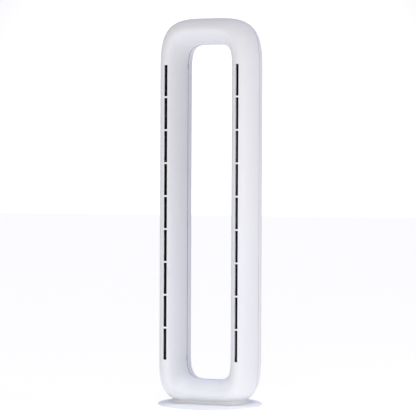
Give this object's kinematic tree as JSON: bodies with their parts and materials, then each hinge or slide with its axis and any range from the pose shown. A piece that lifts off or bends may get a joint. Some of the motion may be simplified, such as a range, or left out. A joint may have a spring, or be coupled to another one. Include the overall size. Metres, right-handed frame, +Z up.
{
  "type": "tower air purifier",
  "caption": "Tall closed-loop tower air purifier on a thin round swivel base, with slotted outlets down the front nose of each column and filter cassettes behind.",
  "frame": {"origin": "centre of the base on the floor, on the swivel axis", "axes": "+Z up the tower; the slotted front faces -Y; +X is the right column seen from the front"},
  "size_m": [0.2702, 0.2702, 0.9994],
  "materials": {
    "white_shell": "satin white moulded plastic",
    "white_cover": "satin white moulded plastic",
    "black_grille": "matt black moulded plastic",
    "black_panel": "fine-textured black plastic",
    "smoked_lens": "polished smoked plastic",
    "grey_button": "soft-touch grey plastic",
    "grey_plastic": "as-moulded grey plastic",
    "zinc_steel": "zinc-plated steel",
    "rubber": "matt rubber",
    "acetal": "natural acetal",
    "filter_paper": "pleated filter paper",
    "circuit_board": "green solder mask",
    "bronze": "sintered bronze"
  },
  "bodies": {
    "base": {"base_cover": "white_shell", "base_weight": "zinc_steel", "foot_1": "rubber", "foot_2": "rubber", "foot_3": "rubber", "foot_4": "rubber", "base_screw_1": "zinc_steel", "base_screw_2": "zinc_steel", "base_screw_3": "zinc_steel", "base_screw_4": "zinc_steel", "swivel_post": "zinc_steel", "slide_washer": "acetal", "post_retainer": "zinc_steel", "gear_ring": "acetal"},
    "tower": {"front_shell": "white_shell", "rear_shell": "white_shell", "casing_screw_1": "zinc_steel", "casing_screw_2": "zinc_steel", "casing_screw_3": "zinc_steel", "casing_screw_4": "zinc_steel", "outlet_grille_left": "black_grille", "outlet_grille_right": "black_grille", "air_duct_left": "grey_plastic", "air_duct_right": "grey_plastic", "tower_foot": "white_shell", "foot_screw_1": "zinc_steel", "foot_screw_2": "zinc_steel", "foot_screw_3": "zinc_steel", "foot_screw_4": "zinc_steel", "oscillation_motor": "zinc_steel", "blower_scroll": "grey_plastic", "blower_lid": "grey_plastic", "motor_mount": "rubber", "blower_motor": "zinc_steel", "motor_bearing": "bronze", "control_panel": "black_panel", "display_lens": "smoked_lens", "control_board": "circuit_board", "power_inlet": "black_panel", "main_board": "circuit_board", "particle_sensor": "grey_plastic"},
    "pinion": {"drive_pinion": "acetal"},
    "blower_wheel": {"impeller": "black_panel", "impeller_shaft": "zinc_steel"},
    "cassette_left": {"intake_cover_left": "white_cover", "filter_frame_left": "black_panel", "filter_media_left": "filter_paper", "filter_seal_left": "rubber"},
    "cassette_right": {"intake_cover_right": "white_cover", "filter_frame_right": "black_panel", "filter_media_right": "filter_paper", "filter_seal_right": "rubber"},
    "power_button": {"power_button": "grey_button"},
    "speed_button": {"speed_button": "grey_button"},
    "swing_button": {"swing_button": "grey_button"}
  },
  "joints": [
    {"name": "tower_swivel", "type": "hinge", "parent": "base", "child": "tower", "pos_m": [0, 0, 0.0137], "axis": [0, 0, 1], "range_deg": [-40, 40]},
    {"name": "pinion_spin", "type": "hinge", "parent": "tower", "child": "pinion", "pos_m": [-0.0486, 0, 0.012], "axis": [0, 0, 1], "range_deg": [-205, 205]},
    {"name": "wheel_spin", "type": "hinge", "parent": "tower", "child": "blower_wheel", "pos_m": [0, 0, 0.04], "axis": [0, 0, 1], "continuous": true},
    {"name": "cassette_left_pull", "type": "slide", "parent": "tower", "child": "cassette_left", "axis": [0, 1, 0], "range_m": [0, 0.09]},
    {"name": "cassette_right_pull", "type": "slide", "parent": "tower", "child": "cassette_right", "axis": [0, 1, 0], "range_m": [0, 0.09]},
    {"name": "power_press", "type": "slide", "parent": "tower", "child": "power_button", "axis": [0, 0, -1], "range_m": [0, 0.0008], "stiffness_N_per_m": 600},
    {"name": "speed_press", "type": "slide", "parent": "tower", "child": "speed_button", "axis": [0, 0, -1], "range_m": [0, 0.0008], "stiffness_N_per_m": 600},
    {"name": "swing_press", "type": "slide", "parent": "tower", "child": "swing_button", "axis": [0, 0, -1], "range_m": [0, 0.0008], "stiffness_N_per_m": 600}
  ],
  "couplings": [
    {"joint": "pinion_spin", "follows": "tower_swivel", "ratio": 5}
  ]
}
